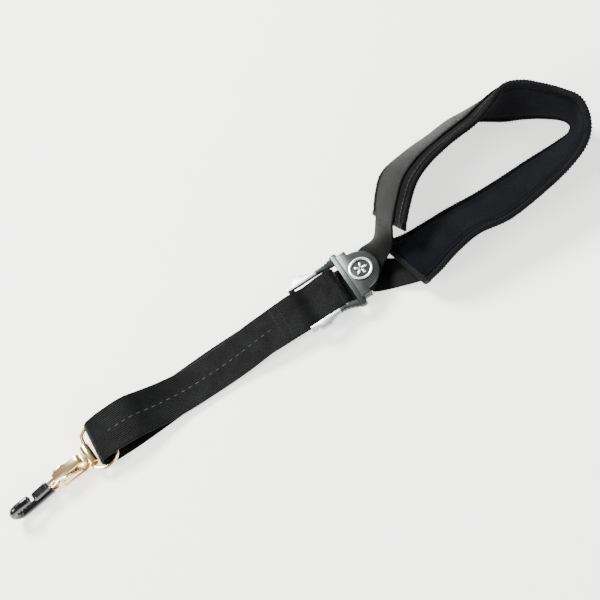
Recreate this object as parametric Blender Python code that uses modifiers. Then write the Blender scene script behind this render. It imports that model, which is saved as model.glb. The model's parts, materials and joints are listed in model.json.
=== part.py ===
"""Saxophone neck strap: a padded neck band, a folded run of webbing, a sliding adjuster and a sprung hook.

Frame: the origin is under the middle of the adjuster, on the surface that the strap lies on. +X runs along
the strap from the hook to the neck band, +Z is up. Sizes below are in millimetres.
"""
from math import cos, pi, radians, sin

import bmesh
import bpy
from mathutils import Matrix, Vector

MM = 0.001
GAP = 0.3  # left between pieces that touch

WEB_WIDTH = 24.5
WEB_THICK = 1.3
PAD_WIDTH = 43.2
PAD_HALF = 1.8  # half the padded band's thickness
SKIN = 0.6  # the lining and the cover
EDGE_SHARE = 0.065  # of the width, taken by each overlocked edge
HEM_SHARE = 0.012  # of the length, taken by each hemmed end
HEM_GAP = 0.8
BAND_STEPS = 52
WEB_SHIFT = 0.11  # how far the webbing moves off the pad's middle at its right end, as a share of the width

# The padded band's stations, from its left end round to its right end: a point on the lower edge, a point
# that the upper edge lies towards, and how far the middle bulges outwards.
BAND = (
    ((34, 29.6, 1.9), (38, -3.8, 28.5), 0.6),
    ((43, 42.2, 1.9), (48.6, 7.8, 27.3), 1.2),
    ((53, 51.6, 1.9), (59.6, 17.6, 27.8), 1.6),
    ((67, 54.2, 1.9), (71.5, 22.2, 30.7), 1.8),
    ((85, 54.3, 1.9), (87.5, 24.6, 33.2), 1.8),
    ((103, 54.4, 1.8), (105.5, 26, 33.9), 2.4),
    ((117, 47, 1.4), (116.5, 27, 38.8), 3.6),
    ((128.8, 37, 1.1), (127.5, 29.8, 43.2), 3.0),
    ((138, 31.6, 0.9), (136.5, 26, 43.5), 1.8),
    ((147, 25, 0.9), (143.5, 17.5, 43), 1.2),
    ((155, 16.5, 1.0), (149.5, 8, 42.5), 0.8),
    ((157, 9.5, 1.1), (153.5, -2.5, 42), 0.5),
    ((152, 5, 1.3), (150, -14.5, 38.5), 0.5),
    ((141, 4.5, 1.7), (142, -22, 34), 0.8),
    ((124, 5, 1.9), (127.5, -27, 30.3), 1.0),
    ((105, 5, 1.9), (108, -29.6, 27.3), 1.0),
    ((87, 5.5, 1.9), (88.5, -30.5, 25.2), 1.0),
    ((69, 7, 1.9), (70.5, -28.3, 26.4), 1.0),
    ((53, 7.5, 2.1), (55.5, -29.4, 24.1), 0.8),
    ((38.5, 8.5, 2.5), (43.5, -31, 19.0), 0.4),
    ((25.5, 13.0, 3.2), (32.6, -28.0, 9.0), 0.0),
)
# Each tail's rows from its end under the adjuster to the pad: its two edges, lower edge of the pad first,
# and how far its middle stands above them.
LEFT_TAIL = (
    ((7.5, 12.2, 7.6), (7.5, -12.2, 7.6), 0.0),
    ((11.0, 12.8, 7.0), (11.0, -11.6, 7.6), 0.0),
    ((16.0, 15.2, 4.8), (19.8, -4.8, 9.0), 0.5),
    ((25.0, 14.4, 7.4), (30.0, -1.0, 15.5), 3.6),
)
RIGHT_TAIL = (
    ((7.5, 12.2, 3.2), (7.5, -12.2, 3.2), 0.0),
    ((11.5, 10.2, 3.1), (11.0, -14.2, 3.0), 0.0),
    ((19.0, 6.8, 2.3), (20.0, -17.6, 2.2), 0.0),
)

# The lower run of webbing, lying on the table: x, y and z of its middle.
THROUGH_RUN = (
    (9.5, 0, 5.5), (7.0, 0.2, 5.1), (3.8, 0.7, 2.4), (1.6, 1.0, 0.65), (-10, 2.0, 0.65), (-24, 2.6, 0.65),
    (-40, 3.0, 0.65), (-80, 3.4, 0.65), (-110, 2.4, 0.65), (-130, 1.0, 0.65), (-150, 0.0, 0.65),
    (-160, 0.0, 0.65),
)
THROUGH_LOW = 0.65
FOLD_CENTRE = (-167.5, 5.6)
FOLD_RADIUS = 4.95
FOLD_SKEW = 1.42  # how much higher the fold stands at its far edge
# The front run's rows: x, and z of its near and far edges.
FOLD_TOP = ((-160.3, 10.8, 16.4), (-164.5, 10.5, 15.6))
FRONT_RUN = (
    (-160.0, 10.8, 16.4), (-150, 10.4, 17.0), (-143, 9.2, 16.0), (-135.7, 7.0, 12.5), (-126, 4.8, 8.0),
    (-112, 3.2, 3.8), (-98, 3.2, 3.2), (-86, 3.4, 3.6), (-74, 4.4, 5.6), (-62, 6.6, 7.6), (-52, 8.6, 8.4),
)
END_TOP = ((-51.7, 8.5), (-44, 9.3), (-34, 9.8), (-25, 8.1), (-16, 9.6))
END_BOTTOM = ((-16, 5.1), (-25, 6.1), (-34, 8.0), (-44, 7.5), (-51.7, 6.7))
CROSSBAR = (-8.0, 7.4)
CROSSBAR_RADIUS = 1.6
PATCH_LINES = (-49.0, -43.5)  # where the two rows of thread cross the sewn end

# The adjuster.
RAIL_IN = 13.2
RAIL_OUT = 15.5
FRAME_REAR = -33.0
FRAME_FRONT = 6.5
FRAME_HEIGHTS = (4.4, 11.0)
BAR_HEIGHTS = (8.5, 9.8)
WINDOW = (-29.0, -2.4)
ABOVE = ((-13.4, 11.4), (-13.4, 14), (8, 14), (8, 9.8), (-2.1, 9.8), (-3.1, 8.9))
BELOW = ((-29.3, 0), (8, 0), (8, 6.6), (-2.9, 6.7), (-12.7, 8.8), (-29.3, 8.75))
END_BAR_TOP = 6.1
LEG_OUT = 14.2  # the end bar's legs, drawn in under the rails
GRIP_TEETH = 9
TOOTH_DEPTH = 0.45
PLATE_THICK = 1.8
BADGE_RADIUS = 12.5
EMBLEM_RADIUS = 7.0
EMBLEM_WIDTH = 1.7

# The ring, about the line that it swings on, and the hook, about the ring's front bar.
RING_AXIS = (-162.0, 0.0, 5.6)
RING_WIRE = 1.1
RING_PATH = (
    (0.8, 0.0), (0.6, 6.0), (-0.6, 10.4), (-3.0, 13.2), (-6.5, 14.5), (-9.8, 14.5), (-12.6, 13.2),
    (-15.2, 11.2), (-15.9, 9.2), (-15.9, 0.0),
)
CLIP_AXIS = (-177.9, -2.4, 5.6)
HOOK_YAW = radians(8)
CLIP_OUTER = 3.1
CLIP_INNER = 2.3
CLIP_HALF = 6.3
PLATE_OUTLINE = ((-2.5, 6.1), (-3.8, 6.1), (-9.0, 5.2), (-15.0, 4.8), (-20.5, 4.6), (-23.0, 2.4), (-27.0, 2.2))
PLATE_HEIGHTS = (-3.05, -1.4)
ARM_RADIUS = 1.25
ARM_PATH = ((-24, -2.1), (-30, -2.4), (-38, -2.7), (-45, -2.7))
CURL_CENTRE = (-47.6, 2.0)
CURL_RADIUS = 4.7
CURL_END = ((-44.5, 6.5), (-40.3, 6.0))
EAR_OUTLINE = ((-6.3, -1.7), (-15.8, 5.2), (-20.3, 5.4), (-22.4, 3.8), (-22.8, -1.7))
EAR_IN = 3.25
EAR_THICK = 1.1
PIVOT = (-18.8, 3.1)
PIN_RADIUS = 1.1
KNUCKLE_RADIUS = 2.1
LEVER_HALF = 2.9
LEVER_THICK = 1.4
JAW_HALF = 1.2
THUMB_PATH = (
    (-4.8, 2.9), (-4.8, 3.8), (-5.2, 4.5), (-6.1, 4.95), (-7.5, 5.0), (-12.0, 4.9), (-18.0, 4.7), (-22.5, 4.5),
)
JAW_PATH = ((-19.6, 4.6), (-23.0, 4.45), (-28.0, 4.3), (-33.0, 4.0), (-37.0, 3.6))
SLEEVE_WALL = 0.85
LEVER_SLEEVE = (
    (-27.4, 2.7), (-27.1, 5.4), (-28.0, 6.0), (-36.6, 5.4), (-38.0, 4.7), (-38.3, 3.2), (-37.4, 2.0),
    (-33.0, 2.2), (-29.0, 2.4),
)
SPRING_PATH = ((-15.4, -0.7), (-11.5, 0.1), (-8.4, 1.7), (-7.0, 3.4))


def clear_scene():
    for item in list(bpy.data.objects):
        bpy.data.objects.remove(item, do_unlink=True)


def new_collection(name):
    made = bpy.data.collections.new(name)
    bpy.context.scene.collection.children.link(made)
    return made


def material(name, color, roughness, metallic=0.0):
    made = bpy.data.materials.new(name)
    made.use_nodes = True
    shader = made.node_tree.nodes["Principled BSDF"]
    shader.inputs["Base Color"].default_value = (*color, 1.0)
    shader.inputs["Roughness"].default_value = roughness
    shader.inputs["Metallic"].default_value = metallic
    return made


def add_mesh(name, mesh, group, finish, parent=None):
    made = bpy.data.objects.new(name, mesh)
    group.objects.link(made)
    made.data.materials.clear()
    made.data.materials.append(finish)
    made.parent = parent
    return made


def smooth_path(points, per_span):
    """Points on a Catmull-Rom curve through the given ones, each a Vector or a tuple of any length."""
    size = len(points[0])
    rows = [points[0], *points, points[-1]]
    made = []
    for i in range(1, len(rows) - 2):
        a, b, c, d = rows[i - 1 : i + 3]
        for k in range(per_span):
            t = k / per_span
            made.append(
                tuple(
                    0.5 * (
                        2 * b[j] + (c[j] - a[j]) * t + (2 * a[j] - 5 * b[j] + 4 * c[j] - d[j]) * t * t
                        + (3 * b[j] - a[j] - 3 * c[j] + d[j]) * t ** 3
                    )
                    for j in range(size)
                )
            )
    made.append(tuple(points[-1]))
    return made


def arc(centre, radius, start, end, steps):
    """Points round a centre, from one angle to another, in degrees."""
    turn = [radians(start + (end - start) * k / steps) for k in range(steps + 1)]
    return [(centre[0] + radius * cos(a), centre[1] + radius * sin(a)) for a in turn]


def grid_sheet(name, rows, thickness, group, finish, parent=None):
    """A sheet through rows of points, thickened evenly on both sides."""
    count, across = len(rows) - 1, len(rows[0]) - 1
    bm = bmesh.new()
    bmesh.ops.create_grid(bm, x_segments=count, y_segments=across, size=1)
    for vert in bm.verts:
        i = round((vert.co.x + 1) / 2 * count)
        j = round((vert.co.y + 1) / 2 * across)
        vert.co = Vector(rows[i][j]) * MM
    mesh = bpy.data.meshes.new(name)
    bm.to_mesh(mesh)
    bm.free()
    mesh.shade_smooth()
    made = add_mesh(name, mesh, group, finish, parent)
    shell = made.modifiers.new("thickness", "SOLIDIFY")
    shell.thickness = thickness * MM
    shell.offset = 0
    return made


def flat_curve(name, outline, half, holes=()):
    """A closed flat outline, filled and thickened by half on each side, as a curve."""
    curve = bpy.data.curves.new(name, "CURVE")
    curve.dimensions = "2D"
    curve.fill_mode = "BOTH"
    curve.extrude = half * MM
    for loop in (outline, *holes):
        spline = curve.splines.new("POLY")
        spline.points.add(len(loop) - 1)
        for point, (x, y) in zip(spline.points, loop):
            point.co = (x * MM, y * MM, 0, 1)
        spline.use_cyclic_u = True
    return curve


def as_mesh(curve, place):
    """The curve as one welded mesh, with its place applied."""
    carrier = bpy.data.objects.new(curve.name, curve)
    bpy.context.scene.collection.objects.link(carrier)
    bpy.context.view_layer.update()
    graph = bpy.context.evaluated_depsgraph_get()
    mesh = bpy.data.meshes.new_from_object(carrier.evaluated_get(graph))
    bpy.data.objects.remove(carrier)
    mesh.transform(place)
    bm = bmesh.new()
    bm.from_mesh(mesh)
    bmesh.ops.remove_doubles(bm, verts=bm.verts, dist=0.000001)
    bmesh.ops.recalc_face_normals(bm, faces=bm.faces)
    bm.to_mesh(mesh)
    bm.free()
    return mesh


def lying(outline, z_low, z_high, holes=()):
    """A flat outline in x and y that stands from z_low to z_high."""
    half = (z_high - z_low) / 2
    return as_mesh(flat_curve("lying", outline, half, holes), Matrix.Translation((0, 0, (z_low + half) * MM)))


def upright(outline, y_low, y_high, holes=()):
    """A flat outline in x and z that reaches from y_low to y_high."""
    half = (y_high - y_low) / 2
    place = Matrix.Translation((0, (y_low + half) * MM, 0)) @ Matrix.Rotation(pi / 2, 4, "X")
    return as_mesh(flat_curve("upright", outline, half, holes), place)


def wire(points, radius, closed=False, sides=2):
    """A round wire along points, as a welded mesh."""
    curve = bpy.data.curves.new("wire", "CURVE")
    curve.dimensions = "3D"
    curve.bevel_depth = radius * MM
    curve.bevel_resolution = sides
    curve.use_fill_caps = not closed
    spline = curve.splines.new("POLY")
    spline.points.add(len(points) - 1)
    for point, co in zip(spline.points, points):
        point.co = (*(Vector(co) * MM), 1)
    spline.use_cyclic_u = closed
    return as_mesh(curve, Matrix.Identity(4))


def rod(place, radius, half, segments=24):
    """A round rod along y, centred on a point of x and z."""
    bm = bmesh.new()
    bmesh.ops.create_cone(
        bm, cap_ends=True, segments=segments, radius1=radius * MM, radius2=radius * MM, depth=2 * half * MM,
        matrix=Matrix.Translation((place[0] * MM, 0, place[1] * MM)) @ Matrix.Rotation(pi / 2, 4, "X"),
    )
    mesh = bpy.data.meshes.new("rod")
    bm.to_mesh(mesh)
    bm.free()
    return mesh


def ribbon(path, half):
    """The closed outline of a strip of even thickness along a flat path, with round ends."""
    left, right = [], []
    for i, point in enumerate(path):
        before, after = Vector(path[max(i - 1, 0)]), Vector(path[min(i + 1, len(path) - 1)])
        along = (after - before).normalized()
        side = Vector((-along.y, along.x)) * half
        left.append(tuple(Vector(point) + side))
        right.append(tuple(Vector(point) - side))
    return left + right[::-1]


def boolean(target, cutter, operation, cutters):
    """Adds a boolean with a hidden cutter."""
    cutters.objects.link(cutter)
    cutter.hide_render = True
    cutter.display_type = "WIRE"
    cutter.parent = target.parent
    modifier = target.modifiers.new(operation.lower(), "BOOLEAN")
    modifier.operation = operation
    modifier.object = cutter
    modifier.solver = "EXACT"


def cut(target, mesh, cutters):
    boolean(target, bpy.data.objects.new(target.name + "_cutter", mesh), "DIFFERENCE", cutters)


def join(target, mesh, cutters):
    boolean(target, bpy.data.objects.new(target.name + "_joined", mesh), "UNION", cutters)


class Band:
    """The padded band's middle surface, from its stations: share runs along it and across runs up it."""

    def __init__(self, stations):
        rows = []
        for low, towards, bulge in stations:
            low, towards = Vector(low), Vector(towards)
            high = low + (towards - low).normalized() * PAD_WIDTH
            rows.append((*low, *high, bulge))
        self.rows = smooth_path(rows, 12)
        middles = [(Vector(r[0:3]) + Vector(r[3:6])) / 2 for r in self.rows]
        self.reach = [0.0]
        for a, b in zip(middles, middles[1:]):
            self.reach.append(self.reach[-1] + (b - a).length)
        self.length = self.reach[-1]

    def row(self, share):
        place = min(max(share, 0.0), 1.0) * self.length
        k = 0
        while k < len(self.reach) - 2 and self.reach[k + 1] < place:
            k += 1
        t = (place - self.reach[k]) / (self.reach[k + 1] - self.reach[k])
        return [a + (b - a) * t for a, b in zip(self.rows[k], self.rows[k + 1])]

    def flat(self, share, across):
        values = self.row(share)
        low, high = Vector(values[0:3]), Vector(values[3:6])
        return low, high, low.lerp(high, across), values[6]

    def base(self, share, across):
        step = 0.008
        low, high, here, bulge = self.flat(share, across)
        ahead = self.flat(min(share + step, 1), across)[2] - self.flat(max(share - step, 0), across)[2]
        outward = (high - low).cross(ahead).normalized()
        return here + outward * bulge * 4 * across * (1 - across)

    def point(self, share, across, lift=0.0):
        step = 0.008
        low, high, _, _ = self.flat(share, across)
        ahead = self.base(min(share + step, 1), across) - self.base(max(share - step, 0), across)
        up = self.base(share, min(across + 0.05, 1)) - self.base(share, max(across - 0.05, 0))
        return self.base(share, across) + up.cross(ahead).normalized() * lift


def band_rows(band, along, across, lift, steps=BAND_STEPS, columns=4):
    rows = []
    for i in range(steps + 1):
        share = along[0] + (along[1] - along[0]) * i / steps
        spread = [across[0] + (across[1] - across[0]) * j / columns for j in range(columns + 1)]
        rows.append([band.point(share, place, lift) for place in spread])
    return rows


def build_pad(group, finishes):
    band = Band(BAND)
    inner = (EDGE_SHARE + GAP / PAD_WIDTH, 1 - EDGE_SHARE - GAP / PAD_WIDTH)
    hem = HEM_SHARE + HEM_GAP / band.length
    along = (hem, 1 - hem)
    skin_lift = PAD_HALF - SKIN / 2
    foam = 2 * (PAD_HALF - SKIN - GAP)
    grid_sheet("pad_lining", band_rows(band, along, inner, -skin_lift), SKIN, group, finishes["velour"])
    grid_sheet("pad_foam", band_rows(band, along, inner, 0), foam, group, finishes["foam"])
    grid_sheet("pad_cover", band_rows(band, along, inner, skin_lift), SKIN, group, finishes["knit"])
    edges = {"pad_edge_lower": (0, EDGE_SHARE), "pad_edge_upper": (1 - EDGE_SHARE, 1)}
    for name, across in edges.items():
        grid_sheet(name, band_rows(band, along, across, 0, columns=1), 2 * PAD_HALF, group, finishes["knit"])
    ends = {"pad_hem_left": (0, HEM_SHARE), "pad_hem_right": (1 - HEM_SHARE, 1)}
    for name, share in ends.items():
        grid_sheet(name, band_rows(band, share, (0, 1), 0, 2, 8), 2 * PAD_HALF, group, finishes["webbing"])
    return band


def tail_rows(tail, columns):
    rows = []
    for a, b, lift in tail:
        shares = [j / columns for j in range(columns + 1)]
        rows.append([Vector(a).lerp(Vector(b), t) + Vector((0, 0, 4 * lift * t * (1 - t))) for t in shares])
    return rows


def build_neck_webbing(band, group, finishes):
    columns = 4
    half = WEB_WIDTH / PAD_WIDTH / 2
    lift = PAD_HALF + GAP + WEB_THICK / 2
    on_pad = []
    hem = HEM_SHARE + HEM_GAP / band.length
    for share in (0.0, *[hem + (1 - 2 * hem) * i / BAND_STEPS for i in range(BAND_STEPS + 1)], 1.0):
        low = 0.5 - half + WEB_SHIFT * max(0.0, share - 0.85) / 0.15
        on_pad.append([band.point(share, low + 2 * half * j / columns, lift) for j in range(columns + 1)])
    rows = []
    for tail, first, then in ((LEFT_TAIL, on_pad[0], on_pad[1]), (RIGHT_TAIL, on_pad[-1], on_pad[-2])):
        made = [[tuple(p) for p in row] for row in (*tail_rows(tail, columns), first, then)]
        smooth = [smooth_path([row[j] for row in made], 4) for j in range(columns + 1)]
        steps = 4 * len(tail)
        rows.append([[smooth[j][i] for j in range(columns + 1)] for i in range(steps)])
    grid_sheet("neck_webbing", rows[0] + on_pad + rows[1][::-1], WEB_THICK, group, finishes["webbing"])


def web_rows(path):
    """Rows across the webbing from x and z, or from x and the z of its near and far edges."""
    half = WEB_WIDTH / 2
    return [[(p[0], -half, p[1]), (p[0], 0, (p[1] + p[-1]) / 2), (p[0], half, p[-1])] for p in path]


def build_lower_webbing(group, finishes):
    web = finishes["webbing"]
    half = WEB_WIDTH / 2
    through = [(x, y, max(z, THROUGH_LOW)) for x, y, z in smooth_path(THROUGH_RUN, 4)]
    rows = [[(x, y + side, z) for side in (-half, 0, half)] for x, y, z in through]
    grid_sheet("through_run", rows, WEB_THICK, group, web)
    bend = arc(FOLD_CENTRE, FOLD_RADIUS, 90, 270, 14)
    fold = [*FOLD_TOP, *[(x, z, THROUGH_LOW + (z - THROUGH_LOW) * FOLD_SKEW) for x, z in bend]]
    fold += [(-164.5, THROUGH_LOW), (FOLD_TOP[0][0], THROUGH_LOW)]
    grid_sheet("loop_fold", web_rows(fold), WEB_THICK, group, web)
    grid_sheet("front_run", web_rows(smooth_path(FRONT_RUN, 4)), WEB_THICK, group, web)
    turn = CROSSBAR_RADIUS + GAP + WEB_THICK / 2
    end = smooth_path(END_TOP, 3) + arc(CROSSBAR, turn, 100, -100, 12) + smooth_path(END_BOTTOM, 3)
    grid_sheet("end_loop", web_rows(end), WEB_THICK, group, web)
    top = smooth_path(END_TOP, 20)
    for name, x in zip(("patch_thread_rear", "patch_thread_front"), PATCH_LINES):
        z = min(top, key=lambda p: abs(p[0] - x))[1] + WEB_THICK / 2 + GAP + 0.35
        line = wire([(x, y, z) for y in (-9.5, -3, 3, 9.5)], 0.3)
        add_mesh(name, line, group, finishes["thread"])


def frame_outline():
    """Half of the adjuster's outline from above, with its toothed finger grips, mirrored to the other side."""
    side = [(FRAME_FRONT, RAIL_OUT), (1.6, RAIL_OUT), (1.2, 18.4), (-0.6, 18.9)]
    for k in range(2 * GRIP_TEETH + 1):
        share = k / (2 * GRIP_TEETH)
        waist = RAIL_OUT + 0.2 + 2.7 * (2 * share - 1) ** 2
        side.append((-2.6 - 19.4 * share, waist - TOOTH_DEPTH * (k % 2)))
    side += [(-24.4, 18.1), (-27.0, 18.3), (-28.6, 17.0), (-29.0, 15.4), (FRAME_REAR, 15.2)]
    return side + [(x, -y) for x, y in reversed(side)]


def build_adjuster(group, cutters, finishes):
    metal = finishes["gunmetal"]
    window = [(WINDOW[0], -RAIL_IN), (WINDOW[1], -RAIL_IN), (WINDOW[1], RAIL_IN), (WINDOW[0], RAIL_IN)]
    frame = add_mesh("adjuster_frame", lying(frame_outline(), *FRAME_HEIGHTS, (window,)), group, metal)
    cut(frame, upright(ABOVE, -24, 24), cutters)
    cut(frame, upright(BELOW, -24, 24), cutters)
    legs = [(-36.0, 0.0), (-28.9, 0.0), (-28.9, 8.85), (-36.0, 8.85)]
    for near, far in ((-24, -LEG_OUT), (LEG_OUT, 24)):
        cut(frame, upright(legs, near, far), cutters)
    for rear, front, low, high in ((-3.8, 8.0, 0.0, BAR_HEIGHTS[0]), (-36.0, -28.5, END_BAR_TOP, 16.0)):
        lane = [(rear, low), (front, low), (front, high), (rear, high)]
        cut(frame, upright(lane, -RAIL_IN - 0.15, RAIL_IN + 0.15), cutters)

    low = BAR_HEIGHTS[1] + GAP
    plate = [(0.2, -RAIL_OUT), (FRAME_FRONT, -RAIL_OUT), (FRAME_FRONT, -BADGE_RADIUS)]
    plate += arc((FRAME_FRONT, 0), BADGE_RADIUS, -90, 90, 28)[1:]
    plate += [(FRAME_FRONT, RAIL_OUT), (0.2, RAIL_OUT)]
    add_mesh("adjuster_plate", lying(plate, low, low + PLATE_THICK), group, metal)

    centre = (8.6, 0)
    ring = arc(centre, EMBLEM_RADIUS, 0, 360, 32)[:-1]
    hole = arc(centre, EMBLEM_RADIUS - EMBLEM_WIDTH, 0, 360, 32)[:-1]
    top = low + PLATE_THICK + GAP
    add_mesh("badge_emblem", lying(ring, top, top + 0.6, (hole,)), group, finishes["silver"])
    add_mesh("crossbar", rod(CROSSBAR, CROSSBAR_RADIUS, RAIL_IN - GAP), group, finishes["steel"])


def hook_arm():
    """The arm, its curl and its returning tip, as one flat path."""
    curl = arc(CURL_CENTRE, CURL_RADIUS, -100, -265, 14)[1:]
    return [*smooth_path(ARM_PATH, 3), *curl, *smooth_path(CURL_END, 2)]


def beyond(path, distance):
    """A point past the end of a path."""
    end, before = Vector(path[-1]), Vector(path[-2])
    return tuple(end + (end - before).normalized() * distance)


def centred(path):
    return [(x, 0, z) for x, z in path]


def empty(name, place, group, parent=None):
    made = bpy.data.objects.new(name, None)
    made.location = Vector(place) * MM
    made.parent = parent
    group.objects.link(made)
    return made


def build_hook(group, cutters, finishes):
    gold, vinyl, steel = finishes["gold"], finishes["vinyl"], finishes["steel"]
    ring_axis = empty("ring_axis", RING_AXIS, group)
    half_ring = smooth_path(RING_PATH, 3)
    ring = [(x, y, 0) for x, y in half_ring] + [(x, -y, 0) for x, y in half_ring[-2:0:-1]]
    add_mesh("hook_ring", wire(ring, RING_WIRE, closed=True), group, gold, ring_axis)

    clip_axis = empty("clip_axis", CLIP_AXIS, group)
    clip_axis.rotation_euler.z = HOOK_YAW
    plate = [*PLATE_OUTLINE, *[(x, -y) for x, y in reversed(PLATE_OUTLINE)]]
    body = add_mesh("hook_body", lying(plate, *PLATE_HEIGHTS), group, gold, clip_axis)
    join(body, rod((0, 0), CLIP_OUTER, CLIP_HALF), cutters)
    cut(body, rod((0, 0), CLIP_INNER, 12), cutters)
    path = hook_arm()
    join(body, wire(centred(path), ARM_RADIUS, sides=3), cutters)
    for low in (EAR_IN, -EAR_IN - EAR_THICK):
        join(body, upright(EAR_OUTLINE, low, low + EAR_THICK), cutters)
    cut(body, rod(PIVOT, PIN_RADIUS + GAP, 8), cutters)

    covered = path[2:]
    covered.append(beyond(covered, SLEEVE_WALL + GAP))
    outer = wire(centred(covered), ARM_RADIUS + GAP + SLEEVE_WALL, sides=4)
    sleeve = add_mesh("jaw_sleeve", outer, group, vinyl, clip_axis)
    cut(sleeve, wire(centred([*path, beyond(path, GAP)]), ARM_RADIUS + GAP, sides=3), cutters)

    add_mesh("lever_pin", rod(PIVOT, PIN_RADIUS, EAR_IN + EAR_THICK + 0.5), group, steel, clip_axis)
    spring = upright(ribbon(smooth_path(SPRING_PATH, 3), 0.25), -1.8, 1.8)
    add_mesh("lever_spring", spring, group, steel, clip_axis)
    build_lever(group, cutters, gold, vinyl, clip_axis)


def build_lever(group, cutters, gold, vinyl, clip_axis):
    pivot = empty("lever_axis", (PIVOT[0], 0, PIVOT[1]), group, clip_axis)
    back = Matrix.Translation(-pivot.location)

    def placed(mesh):
        mesh.transform(back)
        return mesh

    thumb = upright(ribbon(smooth_path(THUMB_PATH, 3), LEVER_THICK / 2), -LEVER_HALF, LEVER_HALF)
    lever = add_mesh("thumb_lever", placed(thumb), group, gold, pivot)
    jaw = smooth_path(JAW_PATH, 3)
    join(lever, placed(upright(ribbon(jaw, LEVER_THICK / 2 - 0.05), -JAW_HALF, JAW_HALF)), cutters)
    join(lever, placed(rod(PIVOT, KNUCKLE_RADIUS, LEVER_HALF - 0.1)), cutters)
    cut(lever, placed(rod(PIVOT, PIN_RADIUS + GAP, 8)), cutters)

    half = JAW_HALF + GAP + SLEEVE_WALL
    sleeve = add_mesh("lever_sleeve", placed(upright(LEVER_SLEEVE, -half, half)), group, vinyl, pivot)
    hollow = ribbon([*jaw, beyond(jaw, GAP)], LEVER_THICK / 2 + GAP)
    cut(sleeve, placed(upright(hollow, -JAW_HALF - GAP, JAW_HALF + GAP)), cutters)


def build():
    clear_scene()
    group = new_collection("saxophone_neck_strap")
    cutters = new_collection("cutters")
    finishes = {
        "webbing": material("webbing", (0.022, 0.026, 0.024), 0.55),
        "velour": material("velour", (0.008, 0.009, 0.014), 0.95),
        "knit": material("knit", (0.012, 0.013, 0.016), 0.85),
        "foam": material("foam", (0.05, 0.05, 0.05), 0.9),
        "thread": material("thread", (0.04, 0.045, 0.045), 0.6),
        "gunmetal": material("gunmetal", (0.16, 0.18, 0.18), 0.38, 0.9),
        "silver": material("silver", (0.82, 0.82, 0.8), 0.25, 1.0),
        "steel": material("steel", (0.5, 0.5, 0.5), 0.3, 1.0),
        "gold": material("gold", (0.83, 0.6, 0.3), 0.18, 1.0),
        "vinyl": material("vinyl", (0.008, 0.008, 0.01), 0.2),
    }
    band = build_pad(group, finishes)
    build_neck_webbing(band, group, finishes)
    build_lower_webbing(group, finishes)
    build_adjuster(group, cutters, finishes)
    build_hook(group, cutters, finishes)


build()
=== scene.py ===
import json
import math

import bmesh
import bpy
import numpy as np
from mathutils import Matrix, Vector

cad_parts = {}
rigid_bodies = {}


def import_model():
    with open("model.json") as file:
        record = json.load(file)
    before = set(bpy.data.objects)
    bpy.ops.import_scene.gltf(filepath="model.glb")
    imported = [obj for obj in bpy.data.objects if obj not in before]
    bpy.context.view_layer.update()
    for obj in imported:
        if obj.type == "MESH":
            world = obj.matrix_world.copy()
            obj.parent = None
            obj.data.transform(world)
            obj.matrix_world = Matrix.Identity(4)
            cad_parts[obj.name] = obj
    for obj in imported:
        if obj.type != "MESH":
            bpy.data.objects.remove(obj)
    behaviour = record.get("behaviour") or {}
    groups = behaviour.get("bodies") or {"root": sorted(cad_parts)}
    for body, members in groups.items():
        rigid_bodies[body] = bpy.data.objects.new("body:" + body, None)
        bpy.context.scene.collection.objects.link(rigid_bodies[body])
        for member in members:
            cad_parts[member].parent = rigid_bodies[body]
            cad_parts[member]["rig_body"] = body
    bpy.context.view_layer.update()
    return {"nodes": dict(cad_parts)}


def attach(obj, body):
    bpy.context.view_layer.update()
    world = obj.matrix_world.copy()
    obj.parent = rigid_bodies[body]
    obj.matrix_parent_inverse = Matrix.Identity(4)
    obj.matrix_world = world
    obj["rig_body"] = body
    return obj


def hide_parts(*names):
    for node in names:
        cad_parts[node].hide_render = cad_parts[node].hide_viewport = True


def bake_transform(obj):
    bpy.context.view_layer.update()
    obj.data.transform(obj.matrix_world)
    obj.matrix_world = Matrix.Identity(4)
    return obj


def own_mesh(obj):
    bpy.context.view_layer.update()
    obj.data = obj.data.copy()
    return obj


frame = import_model()
mm = 0.001
print("frame loaded")


# shapes: everything below is laid out in millimetres and scaled when its mesh is made

def smoothRows(points, perSpan):
    p = np.array(points, float)
    p = np.concatenate([p[:1], p, p[-1:]])
    made = []
    for i in range(1, len(p) - 2):
        a, b, c, d = p[i - 1], p[i], p[i + 1], p[i + 2]
        for k in range(perSpan):
            t = k / perSpan
            bend = (2 * a - 5 * b + 4 * c - d) * t * t + (3 * b - a - 3 * c + d) * t ** 3
            made.append(0.5 * (2 * b + (c - a) * t + bend))
    made.append(p[-2])
    return np.array(made)


def evenRows(grid, step):
    middle = grid[:, grid.shape[1] // 2]
    reach = np.concatenate([[0], np.cumsum(np.linalg.norm(np.diff(middle, axis=0), axis=1))])
    count = max(3, int(round(reach[-1] / step)) + 1)
    places = np.linspace(0, reach[-1], count)
    flat = grid.reshape(len(grid), -1)
    made = np.stack([np.interp(places, reach, flat[:, k]) for k in range(flat.shape[1])], axis=1)
    return made.reshape(count, grid.shape[1], 3), places


def unit(v):
    return v / np.maximum(np.linalg.norm(v, axis=-1, keepdims=True), 1e-9)


def gridNormals(grid):
    along = np.gradient(grid, axis=0)
    across = np.gradient(grid, axis=1)
    return unit(np.cross(across, along))


def edgeSpread(width, thickness, count):
    # places across a sheet, close together where its edges are rounded
    edge = 0.55 * thickness / width
    rounded = edge * np.array([0.0, 0.12, 0.4, 0.75])
    return np.concatenate([rounded, np.linspace(edge, 1 - edge, count), 1 - rounded[::-1]]), edge


def edgeFactor(places, edge):
    near = np.clip(np.minimum(places, 1 - places) / edge, 0, 1)
    return np.sqrt(np.clip(1 - (1 - near) ** 2, 0, 1))


def newObject(name, mesh):
    made = bpy.data.objects.new(name, mesh)
    bpy.context.scene.collection.objects.link(made)
    return made


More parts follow.
